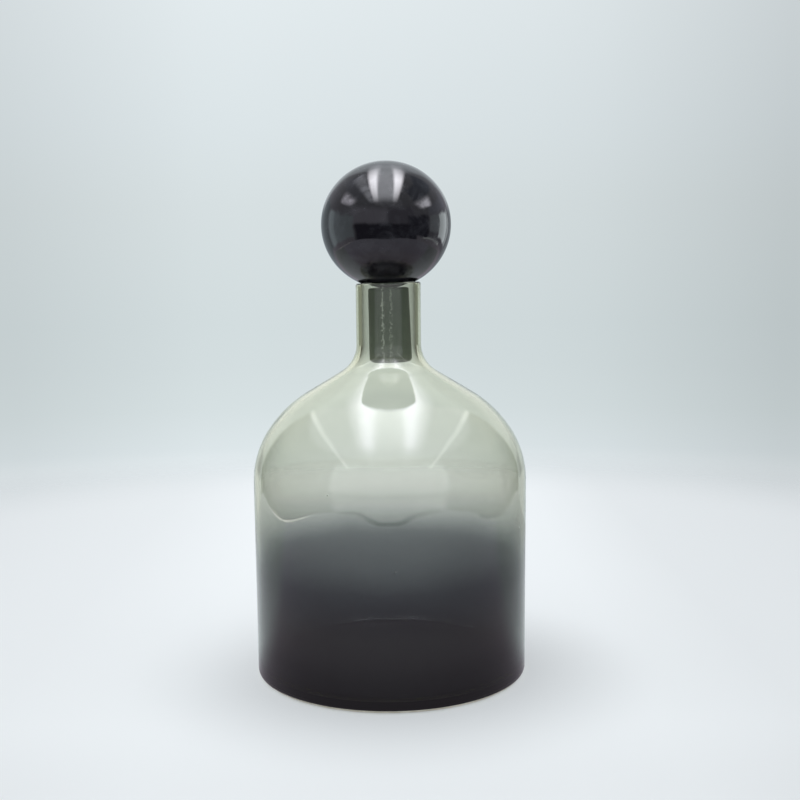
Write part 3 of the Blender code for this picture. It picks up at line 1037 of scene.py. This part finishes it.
def studio_shell(name, receivers, radius, centre_z, wander, room_stops, cards, inner_cards=()):
    """A far shell of soft cards. Room stops are (elevation, colour) and lie under the cards."""
    tree, glow = mirrored_light(name, *shell_shape(radius), receivers)
    where = add(tree, "NewGeometry").outputs["Position"]
    aim = vector_maths(tree, "NORMALIZE", vector_maths(tree, "SUBTRACT", where, (0, 0, centre_z)))
    to_right, to_back, upward = xyz(tree, aim)
    uneven = noise(tree, aim, Scale=WANDER_SCALE, Detail=WANDER_DETAIL)
    shift = product(tree, minus(tree, uneven, 0.5), radians(wander))
    to_front = product(tree, to_back, -1.0)
    azimuth = maths(tree, "ADD", maths(tree, "ARCTAN2", to_right, to_front), shift)
    elevation = minus(tree, maths(tree, "ARCSINE", upward), shift)
    share = maths(tree, "DIVIDE", maths(tree, "ADD", elevation, pi / 2), pi)
    room = ramp(tree, share, [(angle / 180 + 0.5, colour) for angle, colour in room_stops])
    for card in cards:
        room = blend(tree, on_card(tree, azimuth, elevation, card), room, card[-1])
    depth = add(tree, "LightPath").outputs["Transmission Depth"]
    through_glass = maths(tree, "GREATER_THAN", depth, 0.5)
    for card in inner_cards:
        shown = product(tree, on_card(tree, azimuth, elevation, card), through_glass)
        room = blend(tree, shown, room, card[-1])
    feed(tree, glow, room)
    print(name, "cards", len(cards) + len(inner_cards))


# %% The studio that the ball mirrors
BALL_ROOM = [(-90, (0.10, 0.10, 0.13)), (18, (0.52, 0.52, 0.58)), (55, (0.60, 0.62, 0.67))]
BALL_CARDS = [
    # azimuth from and to, elevation from and to, edge, colour
    (-66, 4, 1, 28, 6, (0.82, 0.80, 0.92)),
    (4, 52, 1, 28, 6, (0.42, 0.41, 0.49)),
    (-56, 82, -60, 0, 3.5, (0.09, 0.09, 0.12)),
    (41, 80, -20, 13, 4, (0.10, 0.10, 0.14)),
    (-122, -60, -24, 14, 3, (0.84, 0.96, 1.04)),
    (-118, -104, -20, 15, 2, (1.15, 1.33, 1.42)),
    (-200, -123, -25, 18, 2, (0.42, 0.48, 0.52)),
    (84, 111, -9, 12, 2, (0.74, 0.80, 0.86)),
    (109, 134, -14, 11, 1.5, (2.45, 2.68, 2.76)),
    (134, 142, -14, 11, 1.5, (1.15, 1.25, 1.30)),
    (143, 200, -16, 8, 2, (0.40, 0.44, 0.47)),
    (84, 140, 13, 24, 3, (0.60, 0.62, 0.72)),
    (-135, -58, 40, 58, 3, (0.58, 0.60, 0.68)),
    (58, 135, 36, 58, 3, (0.32, 0.35, 0.42)),
    (-200, -60, -95, -20, 2, (0.68, 0.65, 0.74)),
    (60, 200, -95, -19, 2, (0.64, 0.60, 0.68)),
    (72, 118, -20.5, -18.5, 0.6, (1.7, 1.8, 1.8)),
    (-200, -150, 8, 95, 3, (0.88, 0.95, 1.00)),
    (150, 200, 8, 95, 3, (0.88, 0.95, 1.00)),
    (-200, -150, 38, 64, 6, (1.12, 1.19, 1.28)),
    (150, 200, 38, 64, 6, (1.12, 1.19, 1.28)),
]
studio_shell(
    "ball_studio", [ball, plug], radius=6.0, centre_z=0.30, wander=8,
    room_stops=BALL_ROOM, cards=BALL_CARDS,
)

# %% The studio that the bottle mirrors
BOTTLE_ROOM = [
    (-90, (0.14, 0.13, 0.11)), (16, (0.16, 0.15, 0.13)), (31, (0.34, 0.32, 0.27)),
    (39, (0.35, 0.33, 0.28)), (44, (0.95, 0.95, 0.98)), (90, (1.0, 1.0, 1.05)),
]
BOTTLE_CARDS = [
    (-47, 47, -60, 33, 3.5, (0.92, 0.93, 0.98)),
    (-50, -45, 2, 30, 1.8, (1.14, 1.17, 1.23)),
    (45, 50, 2, 30, 1.8, (1.08, 1.11, 1.17)),
    (-44, 44, -5.5, -0.5, 3.5, (0.40, 0.40, 0.42)),
    (-136, -118, -60, 20, 3, (0.10, 0.10, 0.09)),
    (118, 136, -60, 20, 3, (0.10, 0.10, 0.09)),
    (-200, -135, -60, 60, 0.7, (0.72, 0.76, 0.75)),
    (135, 200, -60, 60, 0.7, (0.62, 0.66, 0.67)),
    (-200, -157, -60, 38, 3, (0.64, 0.71, 0.70)),
    (157, 200, -60, 38, 3, (0.60, 0.67, 0.68)),
    (-200, -135, 8, 24, 3, (0.86, 0.90, 0.89)),
    (135, 200, 8, 24, 3, (0.80, 0.84, 0.85)),
]
NECK_CARDS = [
    (-200, -125, -7, 1, 1.5, (0.28, 0.30, 0.27)),
    (127, 200, -7, 1, 1.5, (0.22, 0.24, 0.22)),
    (-200, -152, -7, 1, 3, (0.60, 0.67, 0.66)),
    (149, 200, -7, 1, 3, (0.58, 0.65, 0.66)),
]
studio_shell(
    "bottle_studio", [bottle], radius=6.5, centre_z=0.14, wander=3,
    room_stops=BOTTLE_ROOM, cards=BOTTLE_CARDS, inner_cards=NECK_CARDS,
)

# %% [markdown]
# The lamps hang close over the bottle, so where they show in the ball and on the dome depends on
# their real places, and a direction is not enough. They are flat panels that only mirrored rays
# see. Each carries two soft tubes that spread a little towards the camera and the sheet between
# them. The ball also mirrors cloudy glowing patches beside the tubes, and the bottle a dim ceiling
# with a bright rim along its sides.

# %% A helper for the lamp panels
LAMP_HALF_WIDTH = 0.75
LAMP_FRONT_Y, LAMP_BACK_Y = -0.80, 0.42
TUBE_SPREAD = 0.12
ACROSS_REACH = 0.20


def lamp_panel(name, receivers, panel_z, tube_x, tube, sheet):
    """Two tubes and a sheet. Tube and sheet are (colour, stops across, stops along)."""
    points = [
        (-LAMP_HALF_WIDTH, LAMP_FRONT_Y, panel_z), (LAMP_HALF_WIDTH, LAMP_FRONT_Y, panel_z),
        (LAMP_HALF_WIDTH, LAMP_BACK_Y, panel_z), (-LAMP_HALF_WIDTH, LAMP_BACK_Y, panel_z),
    ]
    tree, glow = mirrored_light(name, points, [(0, 1, 2, 3)], receivers)
    where = add(tree, "NewGeometry").outputs["Position"]
    lamp_x, lamp_y = xyz(tree, where)[:2]
    tube_line = minus(tree, tube_x, product(tree, lamp_y, TUBE_SPREAD))
    outside = minus(tree, maths(tree, "ABSOLUTE", lamp_x), tube_line)
    parts = []
    for colour, across_stops, along_stops in (tube, sheet):
        across = curve(tree, outside, across_stops, -ACROSS_REACH, ACROSS_REACH)
        along = curve(tree, lamp_y, along_stops, LAMP_FRONT_Y, LAMP_BACK_Y)
        parts.append(times(tree, colour, product(tree, across, along)))
    print(name, "at", panel_z)
    return tree, glow, where, lamp_x, lamp_y, plus(tree, *parts)


# %% The lamps that the ball mirrors
BALL_TUBE = (
    (13.2, 13.0, 13.8),
    [(-0.040, 0.0), (-0.020, 1.0), (0.020, 1.0), (0.042, 0.0)],
    [
        (-0.50, 0.0), (-0.40, 0.02), (-0.30, 0.26), (-0.17, 0.72), (-0.10, 0.95), (-0.04, 1.0),
        (0.07, 0.40), (0.15, 0.05), (0.28, 0.0),
    ],
)
BALL_SHEET = (
    (4.0, 4.1, 4.4),
    [(-0.010, 1.0), (0.030, 0.0)],
    [
        (-0.50, 0.0), (-0.40, 0.08), (-0.33, 0.46), (-0.27, 0.85), (-0.20, 1.0), (-0.04, 0.9),
        (0.10, 0.3), (0.24, 0.0),
    ],
)
GLOW_PATCHES = [
    # x from and to, y from and to, edge, colour
    (-0.56, -0.38, -0.19, 0.04, 0.07, (6.0, 5.8, 6.5)),
    (0.45, 0.70, -0.26, 0.04, 0.08, (5.2, 5.1, 5.6)),
    (-0.21, -0.125, -0.34, 0.10, 0.03, (2.3, 2.35, 2.6)),
]
LEAST_CLOUD = 0.45

tree, glow, where, lamp_x, lamp_y, colour = lamp_panel(
    "ball_lamps", [ball, plug], panel_z=0.600, tube_x=0.08, tube=BALL_TUBE, sheet=BALL_SHEET,
)
clouds = use_group(tree, hand_film, where, Blotch_Size=0.11, Cover=0.50)
cloudy = soft_step(tree, clouds, 0.0, 1.0, LEAST_CLOUD, 1.0)
for x_low, x_high, y_low, y_high, edge, patch_colour in GLOW_PATCHES:
    across = between(tree, lamp_x, x_low, x_high, edge)
    along = between(tree, lamp_y, y_low, y_high, edge)
    in_patch = product(tree, across, along, cloudy)
    colour = plus(tree, colour, times(tree, patch_colour, in_patch))
feed(tree, glow, colour)
print("glowing patches", len(GLOW_PATCHES))

# %% The lamps that the bottle mirrors
BOTTLE_TUBE = (
    (2.75, 2.58, 3.25),
    [
        (-0.090, 0.03), (-0.056, 0.19), (-0.036, 0.52), (-0.016, 0.85), (0.004, 1.0), (0.024, 0.89),
        (0.044, 0.60), (0.064, 0.35), (0.094, 0.15), (0.130, 0.0),
    ],
    [(-0.50, 0.07), (-0.385, 0.45), (-0.30, 1.0), (0.20, 1.0), (0.30, 0.0)],
)
BOTTLE_SHEET = (
    (2.0, 2.05, 2.2),
    [(-0.030, 1.0), (0.040, 0.67), (0.110, 0.0)],
    [(-0.50, 0.05), (-0.38, 0.35), (-0.26, 0.72), (-0.16, 1.0), (0.10, 1.0), (0.24, 0.0)],
)
tree, glow, where, lamp_x, lamp_y, colour = lamp_panel(
    "bottle_lamps", [bottle], panel_z=0.603, tube_x=0.10, tube=BOTTLE_TUBE, sheet=BOTTLE_SHEET,
)

# %% The ceiling that the bottle mirrors
CEILING_COLOUR = (0.20, 0.21, 0.22)
CEILING_RIM_COLOUR = (1.30, 1.30, 1.36)
CEILING_HALF_WIDTH = 0.45
CEILING_FRONT_Y, CEILING_BACK_Y = -0.75, 0.35
CEILING_END_EDGE = 0.03
WIDENS_FROM_Y = -0.2
WIDENS_BY = 0.2
RIM_IN, RIM_OUT, RIM_EDGE = -0.052, -0.010, 0.018
CEILING_SIDE_EDGE = 0.012

past_y = maths(tree, "MAXIMUM", minus(tree, WIDENS_FROM_Y, lamp_y), 0.0)
widening = product(tree, past_y, WIDENS_BY)
from_middle = minus(tree, maths(tree, "ABSOLUTE", lamp_x), widening)
from_side = minus(tree, from_middle, CEILING_HALF_WIDTH)
on_rim = between(tree, from_side, RIM_IN, RIM_OUT, RIM_EDGE)
ceiling = blend(tree, on_rim, CEILING_COLOUR, CEILING_RIM_COLOUR)
along = between(tree, lamp_y, CEILING_FRONT_Y, CEILING_BACK_Y, CEILING_END_EDGE)
across = soft_step(tree, from_side, CEILING_SIDE_EDGE, -CEILING_SIDE_EDGE)
on_ceiling = product(tree, across, along)
feed(tree, glow, plus(tree, colour, times(tree, ceiling, on_ceiling)))
lights = [piece.name for piece in bpy.data.objects if piece.light_linking.receiver_collection]
print("lights", sorted(lights))

# %% Show the colours plainly, with the Standard view transform
bpy.context.scene.view_settings.view_transform = "Standard"
